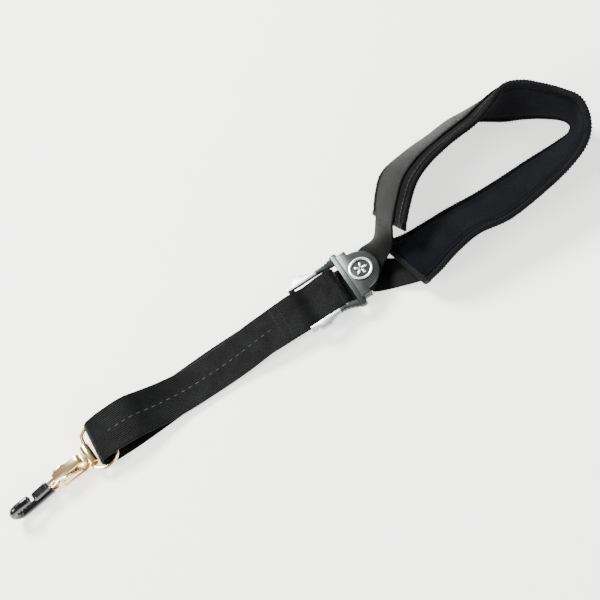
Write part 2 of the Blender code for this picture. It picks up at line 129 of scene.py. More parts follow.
def sheetObject(name, grid, factors, above, below, widths, lengths, material, normals=None):
    # a closed sheet: above and below are how far each side stands from the grid, in its normal's direction
    n, m = grid.shape[:2]
    normals = gridNormals(grid) if normals is None else normals
    top = grid + normals * (above * factors)[..., None]
    bottom = grid - normals * (below * factors)[..., None]
    faces = []
    topIndex = np.arange(n * m).reshape(n, m)
    bottomIndex = topIndex + n * m
    verts = np.concatenate([top.reshape(-1, 3), bottom.reshape(-1, 3)]) * mm
    for i in range(n - 1):
        for j in range(m - 1):
            faces.append((topIndex[i, j], topIndex[i, j + 1], topIndex[i + 1, j + 1], topIndex[i + 1, j]))
            faces.append(
                (bottomIndex[i, j], bottomIndex[i + 1, j], bottomIndex[i + 1, j + 1], bottomIndex[i, j + 1])
            )
    for i, turn in ((0, 1), (n - 1, -1)):
        for j in range(m - 1):
            face = (topIndex[i, j], bottomIndex[i, j], bottomIndex[i, j + 1], topIndex[i, j + 1])
            faces.append(face[::turn])
    for j, turn in ((0, 1), (m - 1, -1)):
        for i in range(n - 1):
            face = (topIndex[i, j], topIndex[i + 1, j], bottomIndex[i + 1, j], bottomIndex[i, j])
            faces.append(face[::turn])
    mesh = bpy.data.meshes.new(name)
    mesh.from_pydata([tuple(v) for v in verts], [], [tuple(int(k) for k in f) for f in faces])
    layer = mesh.uv_layers.new(name="cloth")
    place = np.zeros((2 * n * m, 2))
    place[:, 0] = np.tile(np.tile(widths, n), 2)
    place[:, 1] = np.tile(np.repeat(lengths, m), 2)
    loops = np.zeros(len(mesh.loops), int)
    mesh.loops.foreach_get("vertex_index", loops)
    layer.data.foreach_set("uv", place[loops].astype(np.float32).ravel())
    bm = bmesh.new()
    bm.from_mesh(mesh)
    bmesh.ops.remove_doubles(bm, verts=bm.verts, dist=1e-7)
    bmesh.ops.dissolve_degenerate(bm, edges=bm.edges, dist=1e-8)
    bmesh.ops.recalc_face_normals(bm, faces=bm.faces)
    bm.to_mesh(mesh)
    bm.free()
    mesh.shade_smooth()
    mesh.set_sharp_from_angle(angle=math.radians(65))
    mesh.materials.append(material)
    return newObject(name, mesh)


def tubeObject(name, path, radii, sides, material, closed=False):
    # a round or oval tube: radii gives the half sizes in the side and normal directions at each point
    p = np.array(path, float)
    n = len(p)
    tangent = np.roll(p, -1, 0) - np.roll(p, 1, 0) if closed else np.gradient(p, axis=0)
    tangent = unit(tangent)
    up = np.array(radii["up"], float) if "up" in radii else np.tile([0.0, 1.0, 0.0], (n, 1))
    side = unit(np.cross(tangent, up))
    normal = unit(np.cross(side, tangent))
    turns = np.linspace(0, 2 * math.pi, sides, endpoint=False)
    ring = side[:, None] * (np.cos(turns)[None, :, None] * np.reshape(radii["side"], (-1, 1, 1)))
    ring = ring + normal[:, None] * (np.sin(turns)[None, :, None] * np.reshape(radii["normal"], (-1, 1, 1)))
    verts = (p[:, None] + ring).reshape(-1, 3)
    faces, last = [], n if closed else n - 1
    for i in range(last):
        for k in range(sides):
            a, b = i * sides, ((i + 1) % n) * sides
            faces.append((a + k, a + (k + 1) % sides, b + (k + 1) % sides, b + k))
    if not closed:
        faces.append(tuple(range(sides))[::-1])
        faces.append(tuple((n - 1) * sides + k for k in range(sides)))
    mesh = bpy.data.meshes.new(name)
    mesh.from_pydata([tuple(v) for v in verts * mm], [], faces)
    bm = bmesh.new()
    bm.from_mesh(mesh)
    bmesh.ops.recalc_face_normals(bm, faces=bm.faces)
    bm.to_mesh(mesh)
    bm.free()
    mesh.shade_smooth()
    mesh.materials.append(material)
    return newObject(name, mesh)


# shader groups that several finishes share

def groupNode(tree, kind, **values):
    node = tree.nodes.new(kind)
    for key, value in values.items():
        setattr(node, key, value)
    return node


def mathNode(tree, operation, a, b=None, c=None):
    node = groupNode(tree, "ShaderNodeMath", operation=operation)
    for k, value in enumerate((a, b, c)):
        if value is None:
            continue
        if isinstance(value, (int, float)):
            node.inputs[k].default_value = value
        else:
            tree.links.new(value, node.inputs[k])
    return node.outputs[0]


def newGroup(name, inputs, outputs):
    tree = bpy.data.node_groups.new(name, "ShaderNodeTree")
    for label, kind, value in inputs:
        socket = tree.interface.new_socket(label, in_out="INPUT", socket_type=kind)
        if value is not None:
            socket.default_value = value
    for label, kind in outputs:
        tree.interface.new_socket(label, in_out="OUTPUT", socket_type=kind)
    return tree, tree.nodes.new("NodeGroupInput"), tree.nodes.new("NodeGroupOutput")


def makeWebWeave():
    # lengthwise ribs crossed by slanting yarns, in millimetres of the cloth's own map
    tree, into, out = newGroup(
        "webWeave",
        [("Map", "NodeSocketVector", None), ("Rib Pitch", "NodeSocketFloat", 1.0), (
            "Yarn Pitch", "NodeSocketFloat", 0.9,
        ),
         ("Unevenness", "NodeSocketFloat", 0.3)],
        [("Height", "NodeSocketFloat"), ("Crest", "NodeSocketFloat"), ("Patch", "NodeSocketFloat")],
    )
    link = tree.links.new
    split = groupNode(tree, "ShaderNodeSeparateXYZ")
    link(into.outputs["Map"], split.inputs[0])
    across, along = split.outputs[0], split.outputs[1]
    ribTurn = mathNode(
        tree, "MULTIPLY", mathNode(tree, "DIVIDE", across, into.outputs["Rib Pitch"]), 2 * math.pi,
    )
    rib = mathNode(tree, "MULTIPLY_ADD", mathNode(tree, "SINE", ribTurn), 0.5, 0.5)
    slant = mathNode(tree, "MULTIPLY_ADD", across, 1.1, along)
    yarnTurn = mathNode(
        tree, "MULTIPLY", mathNode(tree, "DIVIDE", slant, into.outputs["Yarn Pitch"]), 2 * math.pi,
    )
    yarn = mathNode(tree, "MULTIPLY_ADD", mathNode(tree, "SINE", yarnTurn), 0.5, 0.5)
    stretch = groupNode(tree, "ShaderNodeMapping")
    stretch.inputs["Scale"].default_value = (1.1, 0.12, 1.0)
    link(into.outputs["Map"], stretch.inputs["Vector"])
    streaks = groupNode(tree, "ShaderNodeTexNoise")
    streaks.inputs["Scale"].default_value = 1.0
    streaks.inputs["Detail"].default_value = 3.0
    link(stretch.outputs[0], streaks.inputs["Vector"])
    # broad patches, used by the webbing as painted sheen in its colour
    broad = groupNode(tree, "ShaderNodeTexNoise")
    broad.inputs["Scale"].default_value = 0.09
    broad.inputs["Detail"].default_value = 2.0
    link(into.outputs["Map"], broad.inputs["Vector"])
    body = mathNode(tree, "MULTIPLY", rib, mathNode(tree, "MULTIPLY_ADD", yarn, 0.35, 0.65))
    uneven = mathNode(
        tree, "MULTIPLY", mathNode(tree, "SUBTRACT", streaks.outputs[0], 0.5), into.outputs["Unevenness"],
    )
    link(mathNode(tree, "ADD", body, uneven), out.inputs["Height"])
    # Crest is light on the rib tops and dark in the grooves, with streaky yarn tone; as colour it gives
    # painted highlight on the ribs and painted shade between them
    crest = mathNode(
        tree, "MULTIPLY", mathNode(tree, "POWER", body, 1.6),
        mathNode(tree, "MULTIPLY", streaks.outputs[0], 1.7),
    )
    link(crest, out.inputs["Crest"])
    link(broad.outputs[0], out.inputs["Patch"])
    return tree


def makeGrain():
    # fine grain and broad unevenness, in metres of the object
    tree, into, out = newGroup(
        "surfaceGrain",
        [("Fine Scale", "NodeSocketFloat", 2000.0), ("Broad Scale", "NodeSocketFloat", 60.0)],
        [("Fine", "NodeSocketFloat"), ("Broad", "NodeSocketFloat"), ("Scratch", "NodeSocketFloat")],
    )
    link = tree.links.new
    place = groupNode(tree, "ShaderNodeTexCoord")
    for label, socket, detail in (("Fine", "Fine Scale", 4.0), ("Broad", "Broad Scale", 3.0)):
        noise = groupNode(tree, "ShaderNodeTexNoise")
        noise.inputs["Detail"].default_value = detail
        link(place.outputs["Object"], noise.inputs["Vector"])
        link(into.outputs[socket], noise.inputs["Scale"])
        link(noise.outputs[0], out.inputs[label])
    stretch = groupNode(tree, "ShaderNodeMapping")
    stretch.inputs["Scale"].default_value = (90.0, 1500.0, 900.0)
    link(place.outputs["Object"], stretch.inputs["Vector"])
    lines = groupNode(tree, "ShaderNodeTexNoise")
    lines.inputs["Scale"].default_value = 1.0
    lines.inputs["Detail"].default_value = 2.0
    link(stretch.outputs[0], lines.inputs["Vector"])
    link(lines.outputs[0], out.inputs["Scratch"])
    return tree


webWeave = makeWebWeave()
surfaceGrain = makeGrain()


def newMaterial(name, values):
    made = bpy.data.materials.new(name)
    made.use_nodes = True
    shader = made.node_tree.nodes["Principled BSDF"]
    for key, value in values.items():
        shader.inputs[key].default_value = value
    return made, made.node_tree, shader


def colourRamp(tree, factor, stops):
    ramp = groupNode(tree, "ShaderNodeValToRGB")
    ramp.color_ramp.elements[0].position = stops[0][0]
    ramp.color_ramp.elements[0].color = (*stops[0][1], 1)
    ramp.color_ramp.elements[1].position = stops[-1][0]
    ramp.color_ramp.elements[1].color = (*stops[-1][1], 1)
    for place, colour in stops[1:-1]:
        ramp.color_ramp.elements.new(place).color = (*colour, 1)
    tree.links.new(factor, ramp.inputs[0])
    return ramp.outputs[0]


def rangeNode(tree, value, low, high, toLow, toHigh):
    node = groupNode(tree, "ShaderNodeMapRange")
    for socket, number in (("From Min", low), ("From Max", high), ("To Min", toLow), ("To Max", toHigh)):
        node.inputs[socket].default_value = number
    tree.links.new(value, node.inputs["Value"])
    return node.outputs["Result"]


def bumpInto(tree, shader, height, strength, distance):
    bump = groupNode(tree, "ShaderNodeBump")
    bump.inputs["Strength"].default_value = strength
    bump.inputs["Distance"].default_value = distance
    tree.links.new(height, bump.inputs["Height"])
    tree.links.new(bump.outputs[0], shader.inputs["Normal"])


def webbingMaterial(name, dark, light, ribPitch, roughness):
    made, tree, shader = newMaterial(
        name,
        {
            "Sheen Weight": 0.015, "Sheen Roughness": 0.4, "Sheen Tint": (0.75, 0.85, 0.8, 1),
            "Specular IOR Level": 0.07,
        },
    )
    uv = groupNode(tree, "ShaderNodeUVMap", uv_map="cloth")
    weave = groupNode(tree, "ShaderNodeGroup", node_tree=webWeave)
    weave.inputs["Rib Pitch"].default_value = ribPitch
    tree.links.new(uv.outputs[0], weave.inputs["Map"])
    # the colour is partly painted light: rib tops lighter as painted highlight, grooves darker as painted
    # shade, in broad painted sheen patches, mixed with streaky yarn tone
    paintedSheenAndYarnTone = mathNode(
        tree, "MULTIPLY", weave.outputs["Crest"],
        rangeNode(tree, weave.outputs["Patch"], 0.38, 0.64, 0.25, 1.5),
    )
    middle = tuple(0.5 * (a + b) for a, b in zip(dark, light))
    tree.links.new(
        colourRamp(tree, paintedSheenAndYarnTone, ((0.0, dark), (0.45, middle), (1.0, light))), shader.inputs["Base Color"],
    )
    tree.links.new(
        rangeNode(tree, weave.outputs["Crest"], 0, 1, roughness + 0.12, roughness - 0.08),
        shader.inputs["Roughness"],
    )
    bumpInto(tree, shader, weave.outputs["Height"], 0.9, 0.00022)
    return made


def clothMaterial(name, dark, light, values, fineScale, strength, distance):
    made, tree, shader = newMaterial(name, values)
    grain = groupNode(tree, "ShaderNodeGroup", node_tree=surfaceGrain)
    grain.inputs["Fine Scale"].default_value = fineScale
    grain.inputs["Broad Scale"].default_value = 90.0
    blend = mathNode(
        tree, "MULTIPLY_ADD", grain.outputs["Broad"], 0.55,
        mathNode(tree, "MULTIPLY", grain.outputs["Fine"], 0.45),
    )
    tree.links.new(colourRamp(tree, blend, ((0.3, dark), (0.72, light))), shader.inputs["Base Color"])
    tree.links.new(rangeNode(tree, grain.outputs["Fine"], 0.3, 0.7, 0.98, 0.82), shader.inputs["Roughness"])
    bumpInto(tree, shader, grain.outputs["Fine"], strength, distance)
    return made


def metalMaterial(name, dark, light, roughness, spread, values, scratch=0.25):
    made, tree, shader = newMaterial(name, values)
    grain = groupNode(tree, "ShaderNodeGroup", node_tree=surfaceGrain)
    grain.inputs["Fine Scale"].default_value = 1400.0
    grain.inputs["Broad Scale"].default_value = 130.0
    tree.links.new(
        colourRamp(tree, grain.outputs["Broad"], ((0.35, dark), (0.65, light))),
        shader.inputs["Base Color"],
    )
    worn = mathNode(tree, "MULTIPLY_ADD", grain.outputs["Scratch"], spread, roughness - spread * 0.5)
    tree.links.new(worn, shader.inputs["Roughness"])
    bumpInto(tree, shader, grain.outputs["Fine"], scratch, 0.00003)
    return made


finishes = {
    "webbing": webbingMaterial(
        "ribbedWebbing", (0.0004, 0.0005, 0.0005), (0.0068, 0.0094, 0.0086), 1.02, 0.44,
    ),
    "hem": webbingMaterial("foldedHem", (0.001, 0.0014, 0.0014), (0.011, 0.0145, 0.0138), 0.8, 0.5),
    "velour": clothMaterial(
        "brushedVelour", (0.0003, 0.0004, 0.0006), (0.003, 0.0033, 0.005),
        {
            "Sheen Weight": 0.02, "Sheen Roughness": 0.5, "Sheen Tint": (0.5, 0.55, 0.8, 1),
            "Specular IOR Level": 0.06,
        }, 1300.0, 1.0, 0.0004),
    "knit": clothMaterial(
        "coverKnit", (0.0006, 0.0007, 0.0008), (0.0032, 0.0036, 0.004),
        {"Sheen Weight": 0.02, "Sheen Roughness": 0.5, "Specular IOR Level": 0.1}, 1900.0, 0.7, 0.00015),
    "overlock": clothMaterial(
        "overlockYarn", (0.0006, 0.0007, 0.0009), (0.0042, 0.0046, 0.006),
        {"Sheen Weight": 0.03, "Sheen Roughness": 0.4, "Specular IOR Level": 0.14}, 3000.0, 0.6, 0.0001),
    "seamThread": clothMaterial(
        "seamThread", (0.028, 0.032, 0.04), (0.07, 0.078, 0.094), {"Specular IOR Level": 0.2}, 4000.0,
        0.5, 0.00005,
    ),
    "darkThread": clothMaterial(
        "darkThread", (0.006, 0.0065, 0.0068), (0.022, 0.024, 0.024), {"Specular IOR Level": 0.2}, 4000.0,
        0.5, 0.00005,
    ),
    "gold": metalMaterial(
        "paleGold", (0.83, 0.6, 0.3), (0.92, 0.74, 0.45), 0.2, 0.12,
        {"Metallic": 1.0, "Coat Weight": 0.3, "Coat Roughness": 0.08}, 0.1),
    "steel": metalMaterial("pinSteel", (0.42, 0.42, 0.43), (0.6, 0.6, 0.6), 0.3, 0.2, {"Metallic": 1.0}),
    "silver": metalMaterial(
        "brightInlay", (0.86, 0.83, 0.86), (0.95, 0.93, 0.95), 0.24, 0.12, {"Metallic": 0.85}, 0.12,
    ),
}


def vinylMaterial():
    made, tree, shader = newMaterial(
        "dippedVinyl", {"Coat Weight": 0.35, "Coat Roughness": 0.07, "Specular IOR Level": 0.4},
    )
    grain = groupNode(tree, "ShaderNodeGroup", node_tree=surfaceGrain)
    grain.inputs["Fine Scale"].default_value = 700.0
    grain.inputs["Broad Scale"].default_value = 220.0
    colour = colourRamp(
        tree, grain.outputs["Broad"], ((0.35, (0.0022, 0.0022, 0.0032)), (0.7, (0.0075, 0.0075, 0.011))),
    )
    tree.links.new(colour, shader.inputs["Base Color"])
    tree.links.new(rangeNode(tree, grain.outputs["Broad"], 0.3, 0.7, 0.12, 0.24), shader.inputs["Roughness"])
    bumpInto(tree, shader, grain.outputs["Broad"], 0.35, 0.0004)
    return made


def gunmetalMaterial():
    # satin coating; the flat rails behind the slope get a much lighter colour, a painted reflection of the
    # bright surroundings
    made, tree, shader = newMaterial(
        "satinGunmetal", {"Metallic": 0.9, "Coat Weight": 0.15, "Coat Roughness": 0.2},
    )
    grain = groupNode(tree, "ShaderNodeGroup", node_tree=surfaceGrain)
    grain.inputs["Fine Scale"].default_value = 1700.0
    grain.inputs["Broad Scale"].default_value = 160.0
    place = groupNode(tree, "ShaderNodeTexCoord")
    split = groupNode(tree, "ShaderNodeSeparateXYZ")
    tree.links.new(place.outputs["Object"], split.inputs[0])
    # painted reflection: beyond about x = -14 mm the rails turn to a much lighter colour
    paintedReflectionMask = rangeNode(tree, split.outputs[0], -0.0136, -0.0142, 0, 1)
    base = colourRamp(
        tree, grain.outputs["Broad"], ((0.35, (0.03, 0.037, 0.037)), (0.65, (0.045, 0.055, 0.054))),
    )
    paintedReflectionColour = colourRamp(tree, grain.outputs["Broad"], ((0.35, (0.3, 0.325, 0.33)), (0.65, (0.4, 0.43, 0.43))))
    mix = groupNode(tree, "ShaderNodeMix", data_type="RGBA")
    tree.links.new(paintedReflectionMask, mix.inputs["Factor"])
    tree.links.new(base, mix.inputs["A"])
    tree.links.new(paintedReflectionColour, mix.inputs["B"])
    tree.links.new(mix.outputs["Result"], shader.inputs["Base Color"])
    worn = mathNode(tree, "MULTIPLY_ADD", grain.outputs["Scratch"], 0.16, 0.3)
    tree.links.new(worn, shader.inputs["Roughness"])
    bumpInto(tree, shader, grain.outputs["Fine"], 0.2, 0.00004)
    return made


finishes["vinyl"] = vinylMaterial()
finishes["gunmetal"] = gunmetalMaterial()
print("finishes made")


# thread: one node tree lays stitches or overlocked yarn along a seam

def makeThreadTree():
    tree = bpy.data.node_groups.new("threadAlongSeam", "GeometryNodeTree")
    tree.interface.new_socket("Seam", in_out="INPUT", socket_type="NodeSocketGeometry")
    for label, kind in (("Pitch", "NodeSocketFloat"), ("Size", "NodeSocketVector"), (
        "Unevenness", "NodeSocketFloat",
    ),
                        ("Seed", "NodeSocketInt"), ("Yarn", "NodeSocketMaterial")):
        tree.interface.new_socket(label, in_out="INPUT", socket_type=kind)
    tree.interface.new_socket("Stitches", in_out="OUTPUT", socket_type="NodeSocketGeometry")
    into, out = tree.nodes.new("NodeGroupInput"), tree.nodes.new("NodeGroupOutput")
    link = tree.links.new
    curve = groupNode(tree, "GeometryNodeMeshToCurve")
    link(into.outputs["Seam"], curve.inputs[0])
    even = groupNode(tree, "GeometryNodeResampleCurve", mode="LENGTH")
    link(curve.outputs[0], even.inputs["Curve"])
    link(into.outputs["Pitch"], even.inputs["Length"])
    bead = groupNode(tree, "GeometryNodeMeshUVSphere")
    bead.inputs["Segments"].default_value = 8
    bead.inputs["Rings"].default_value = 5
    bead.inputs["Radius"].default_value = 1.0
    shaped = groupNode(tree, "GeometryNodeTransform")
    link(bead.outputs["Mesh"], shaped.inputs["Geometry"])
    link(into.outputs["Size"], shaped.inputs["Scale"])
    tangent = groupNode(tree, "GeometryNodeInputTangent")
    alongSeam = groupNode(tree, "FunctionNodeAlignRotationToVector", axis="Z")
    link(tangent.outputs[0], alongSeam.inputs["Vector"])
    normal = groupNode(tree, "GeometryNodeInputNamedAttribute", data_type="FLOAT_VECTOR")
    normal.inputs["Name"].default_value = "surfaceNormal"
    outOfCloth = groupNode(tree, "FunctionNodeAlignRotationToVector", axis="X", pivot_axis="Z")
    link(alongSeam.outputs[0], outOfCloth.inputs["Rotation"])
    link(normal.outputs["Attribute"], outOfCloth.inputs["Vector"])
    jitter = groupNode(tree, "FunctionNodeRandomValue", data_type="FLOAT_VECTOR")
    link(into.outputs["Seed"], jitter.inputs["Seed"])
    less = groupNode(tree, "ShaderNodeMath", operation="SUBTRACT")
    less.inputs[0].default_value = 1.0
    link(into.outputs["Unevenness"], less.inputs[1])
    more = groupNode(tree, "ShaderNodeMath", operation="ADD")
    more.inputs[0].default_value = 1.0
    link(into.outputs["Unevenness"], more.inputs[1])
    link(less.outputs[0], jitter.inputs["Min"])
    link(more.outputs[0], jitter.inputs["Max"])
    placed = groupNode(tree, "GeometryNodeInstanceOnPoints")
    link(even.outputs[0], placed.inputs["Points"])
    link(shaped.outputs[0], placed.inputs["Instance"])
    link(outOfCloth.outputs[0], placed.inputs["Rotation"])
    link(jitter.outputs[0], placed.inputs["Scale"])
    real = groupNode(tree, "GeometryNodeRealizeInstances")
    link(placed.outputs[0], real.inputs[0])
    soft = groupNode(tree, "GeometryNodeSetShadeSmooth")
    link(real.outputs[0], soft.inputs["Geometry"])
    yarn = groupNode(tree, "GeometryNodeSetMaterial")
    link(soft.outputs[0], yarn.inputs["Geometry"])
    link(into.outputs["Yarn"], yarn.inputs["Material"])
    link(yarn.outputs[0], out.inputs[0])
    return tree


threadTree = makeThreadTree()


def threadObject(name, seams, values, material):
    # seams are lists of (point, normal); each becomes one row of thread
    points, normals, edges = [], [], []
    for seam in seams:
        first = len(points)
        for point, normal in seam:
            points.append(tuple(np.array(point) * mm))
            normals.append(tuple(normal))
        edges += [(k, k + 1) for k in range(first, len(points) - 1)]
    mesh = bpy.data.meshes.new(name + "Seam")
    mesh.from_pydata(points, edges, [])
    layer = mesh.attributes.new("surfaceNormal", "FLOAT_VECTOR", "POINT")
    layer.data.foreach_set("vector", np.array(normals, np.float32).ravel())
    seamObject = newObject(name + "Seam", mesh)
    modifier = seamObject.modifiers.new("thread", "NODES")
    modifier.node_group = threadTree
    settings = {
        "Pitch": values["pitch"] * mm, "Size": [v * mm for v in values["size"]],
        "Unevenness": values["unevenness"], "Seed": values["seed"], "Yarn": material,
    }
    for socket in threadTree.interface.items_tree:
        if socket.in_out == "INPUT" and socket.name in settings:
            modifier[socket.identifier] = settings[socket.name]
    bpy.context.view_layer.update()
    graph = bpy.context.evaluated_depsgraph_get()
    baked = bpy.data.meshes.new_from_object(seamObject.evaluated_get(graph))
    baked.name = name
    bpy.data.objects.remove(seamObject, do_unlink=True)
    return newObject(name, baked)


# the padded band

bandValues = {
    "width": 43.2, "half": 1.8, "edgeShare": 0.065, "hemShare": 0.012, "hemGap": 0.8, "webShift": 0.11,
    "stations": (
        ((34, 29.6, 1.9), (38, -3.8, 28.5), 0.6), ((43, 42.2, 1.9), (48.6, 7.8, 27.3), 1.2),
        ((53, 51.6, 1.9), (59.6, 17.6, 27.8), 1.6), ((67, 54.2, 1.9), (71.5, 22.2, 30.7), 1.8),
        ((85, 54.3, 1.9), (87.5, 24.6, 33.2), 1.8), ((103, 54.4, 1.8), (105.5, 26, 33.9), 2.4),
        ((117, 47, 1.4), (116.5, 27, 38.8), 3.6), ((128.8, 37, 1.1), (127.5, 29.8, 43.2), 3.0),
        ((138, 31.6, 0.9), (136.5, 26, 43.5), 1.8), ((147, 25, 0.9), (143.5, 17.5, 43), 1.2),
        ((155, 16.5, 1.0), (149.5, 8, 42.5), 0.8), ((157, 9.5, 1.1), (153.5, -2.5, 42), 0.5),
        ((152, 5, 1.3), (150, -14.5, 38.5), 0.5), ((141, 4.5, 1.7), (142, -22, 34), 0.8),
        ((124, 5, 1.9), (127.5, -27, 30.3), 1.0), ((105, 5, 1.9), (108, -29.6, 27.3), 1.0),
        ((87, 5.5, 1.9), (88.5, -30.5, 25.2), 1.0), ((69, 7, 1.9), (70.5, -28.3, 26.4), 1.0),
        ((53, 7.5, 2.1), (55.5, -29.4, 24.1), 0.8), ((38.5, 8.5, 2.5), (43.5, -31, 19.0), 0.4),
        ((25.5, 13.0, 3.2), (32.6, -28.0, 9.0), 0.0),
    ),
}


def makeBand(values):
    rows = []
    for low, towards, bulge in values["stations"]:
        low, towards = np.array(low, float), np.array(towards, float)
        high = low + unit(towards - low) * values["width"]
        rows.append(np.concatenate([low, high, [bulge]]))
    rows = smoothRows(rows, 12)
    middles = (rows[:, 0:3] + rows[:, 3:6]) / 2
    reach = np.concatenate([[0], np.cumsum(np.linalg.norm(np.diff(middles, axis=0), axis=1))])
    return rows, reach


bandRows, bandReach = makeBand(bandValues)
bandLength = bandReach[-1]


def bandBase(share, across):
    # points of the band's middle surface, for arrays of shares along it and places across it
    def flat(s, a):
        place = np.clip(s, 0, 1) * bandLength
        v = np.stack([np.interp(place, bandReach, bandRows[:, k]) for k in range(7)], axis=-1)
        low, high = v[..., 0:3], v[..., 3:6]
        return low, high, low + (high - low) * a[..., None], v[..., 6]
    step = 0.008
    low, high, here, bulge = flat(share, across)
    ahead = flat(np.minimum(share + step, 1), across)[2] - flat(np.maximum(share - step, 0), across)[2]
    outward = unit(np.cross(high - low, ahead))
    return here + outward * (bulge * 4 * across * (1 - across))[..., None]


def bandFrame(share, across):
    share, across = np.broadcast_arrays(np.asarray(share, float), np.asarray(across, float))
    step = 0.008
    ahead = bandBase(np.minimum(share + step, 1), across) - bandBase(np.maximum(share - step, 0), across)
    up = bandBase(share, np.minimum(across + 0.05, 1)) - bandBase(share, np.maximum(across - 0.05, 0))
    return bandBase(share, across), unit(np.cross(up, ahead)), unit(ahead)


def softWave(share, across, seed):
    # slow puckers in the cloth, in millimetres
    place = share * bandLength
    return (
        0.5 * np.sin(place / 6.1 + seed + 1.3 * np.sin(across * 5.1 + seed))
        + 0.3 * np.sin(place / 3.3 + 2.1 * seed + across * 4.0)
        + 0.2 * np.sin(place / 12.7 - seed + across * 7.0)
    )


padValues = {
    "steps": 330, "face": 1.62, "crown": 0.45, "pucker": 0.22, "channel": 0.75, "channelWidth": 0.02,
    "seamPlace": 0.115,
}


def padSide(name, side, inner, outer, material, seed):
    # one face of the band, from inner to outer as distances from its middle
    edge = bandValues["edgeShare"] + 0.3 / bandValues["width"]
    hem = bandValues["hemShare"] + bandValues["hemGap"] / bandLength
    share = np.linspace(hem, 1 - hem, padValues["steps"])
    places, rounding = edgeSpread((1 - 2 * edge) * bandValues["width"], outer - inner, 25)
    across = edge + (1 - 2 * edge) * places
    s, a = np.meshgrid(share, across, indexing="ij")
    point, normal, _ = bandFrame(s, a)
    swell = padValues["crown"] * np.sin(np.pi * places)[None, :] ** 0.6
    away = np.minimum(np.abs(across - padValues["seamPlace"]), np.abs(across - 1 + padValues["seamPlace"]))
    channel = padValues["channel"] * np.exp(-(away / padValues["channelWidth"]) ** 2)
    pucker = padValues["pucker"] * softWave(s, a, seed) * (0.4 + 0.6 * np.exp(-(away / 0.09) ** 2))[None, :]
    lift = outer + swell - channel[None, :] + pucker
    middle = (inner + outer) / 2
    grid = point + normal * (side * middle)
    factor = np.broadcast_to(edgeFactor(places, rounding), s.shape)
    above, below = lift - middle, np.full(s.shape, middle - inner)
    if side < 0:
        above, below = below, above
    towards = np.sum(gridNormals(grid) * normal, axis=-1).mean()
    if towards < 0:
        above, below = below, above
    made = sheetObject(
        name, grid, factor, above, below, across * bandValues["width"], share * bandLength, material,
    )
    return made


padOuter = padSide("padCover", 1, 0.25, padValues["face"], finishes["knit"], 0.7)
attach(padOuter, "band")
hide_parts("pad_cover")
padInner = padSide("padLining", -1, -0.15, padValues["face"], finishes["velour"], 2.9)
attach(padInner, "band")
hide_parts("pad_lining", "pad_foam")
print("pad faces made")

edgeValues = {"pitch": 1.75, "size": (2.1, 1.66, 0.8), "unevenness": 0.08, "core": 0.9}


def padEdge(name, node, across, seed):
    share = np.linspace(0.0135, 0.9865, 300)
    point, normal, ahead = bandFrame(share, np.full(share.shape, across))
    width = bandValues["edgeShare"] * bandValues["width"] / 2
    core = tubeObject(
        name + "Core", point,
        {
            "up": normal, "side": np.full(300, width * 0.97),
            "normal": np.full(300, bandValues["half"] * edgeValues["core"]),
        },
        12, finishes["overlock"],
    )
    yarn = threadObject(
        name + "Yarn", [list(zip(point, normal))], {**edgeValues, "seed": seed}, finishes["overlock"],
    )
    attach(core, "band")
    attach(yarn, "band")
    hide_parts(node)


half = bandValues["edgeShare"] / 2
padEdge("lowerEdge", "pad_edge_lower", half, 3)
padEdge("upperEdge", "pad_edge_upper", 1 - half, 4)


hemValues = {"length": 5.6, "half": 1.95, "stitchPlace": 0.62, "stitchLift": 1.72, "stitches": 40}


def padHem(name, node, shares):
    # the doubled-over end of the band, crossed by a sewn line
    columns, rounding = edgeSpread(hemValues["length"], 3.7, 7)
    share = shares[0] + (shares[1] - shares[0]) * columns
    across = np.linspace(0.004, 0.996, 60)
    a, s = np.meshgrid(across, share, indexing="ij")
    point, normal, _ = bandFrame(s, a)
    dip = 0.35 * np.exp(-((columns - hemValues["stitchPlace"]) / 0.09) ** 2)
    thick = hemValues["half"] + 0.12 * np.sin(a * 19.0) - dip[None, :]
    factor = np.broadcast_to(edgeFactor(columns, rounding), s.shape)
    made = sheetObject(
        name, point, factor, thick, thick, columns * hemValues["length"], across * bandValues["width"],
        finishes["hem"],
    )
    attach(made, "band")
    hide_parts(node)
    mid = shares[0] + (shares[1] - shares[0]) * hemValues["stitchPlace"]
    count = hemValues["stitches"]
    seams = []
    for side in (1, -1):
        p, n, _ = bandFrame(np.full(count, mid), np.linspace(0.03, 0.97, count))
        seams.append(list(zip(p + n * side * hemValues["stitchLift"], n * side)))
    row = threadObject(
        name + "Stitches", seams,
        {"pitch": 2.4, "size": (0.2, 0.26, 0.85), "unevenness": 0.08, "seed": 9}, finishes["darkThread"],
    )
    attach(row, "band")


padHem("leftHem", "pad_hem_left", (0.0, 0.0148))
padHem("rightHem", "pad_hem_right", (1.0, 0.9852))


def padSeams():
    # the light seam just inside each edge, on both faces
    share = np.linspace(0.016, 0.984, 420)
    seams = []
    for side in (1, -1):
        for across in (padValues["seamPlace"], 1 - padValues["seamPlace"]):
            p, n, _ = bandFrame(share, np.full(share.shape, across))
            wave = padValues["pucker"] * softWave(
                share, np.full(share.shape, across), 0.7 if side > 0 else 2.9,
            )
            rise = padValues["face"] + padValues["crown"] * 0.62 - padValues["channel"] + wave + 0.05
            seams.append(list(zip(p + n * (side * rise)[:, None], n * side)))
    made = threadObject(
        "padSeams", seams, {"pitch": 2.9, "size": (0.17, 0.24, 1.1), "unevenness": 0.1, "seed": 5},
        finishes["seamThread"],
    )
    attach(made, "band")


padSeams()
print("pad edges and seams made")


# webbing

webValues = {"width": 24.5, "thick": 1.3, "step": 1.6, "columns": 23, "threadLift": 0.66}
webPlaces, webRounding = edgeSpread(webValues["width"], webValues["thick"], webValues["columns"])
webFactor = edgeFactor(webPlaces, webRounding)


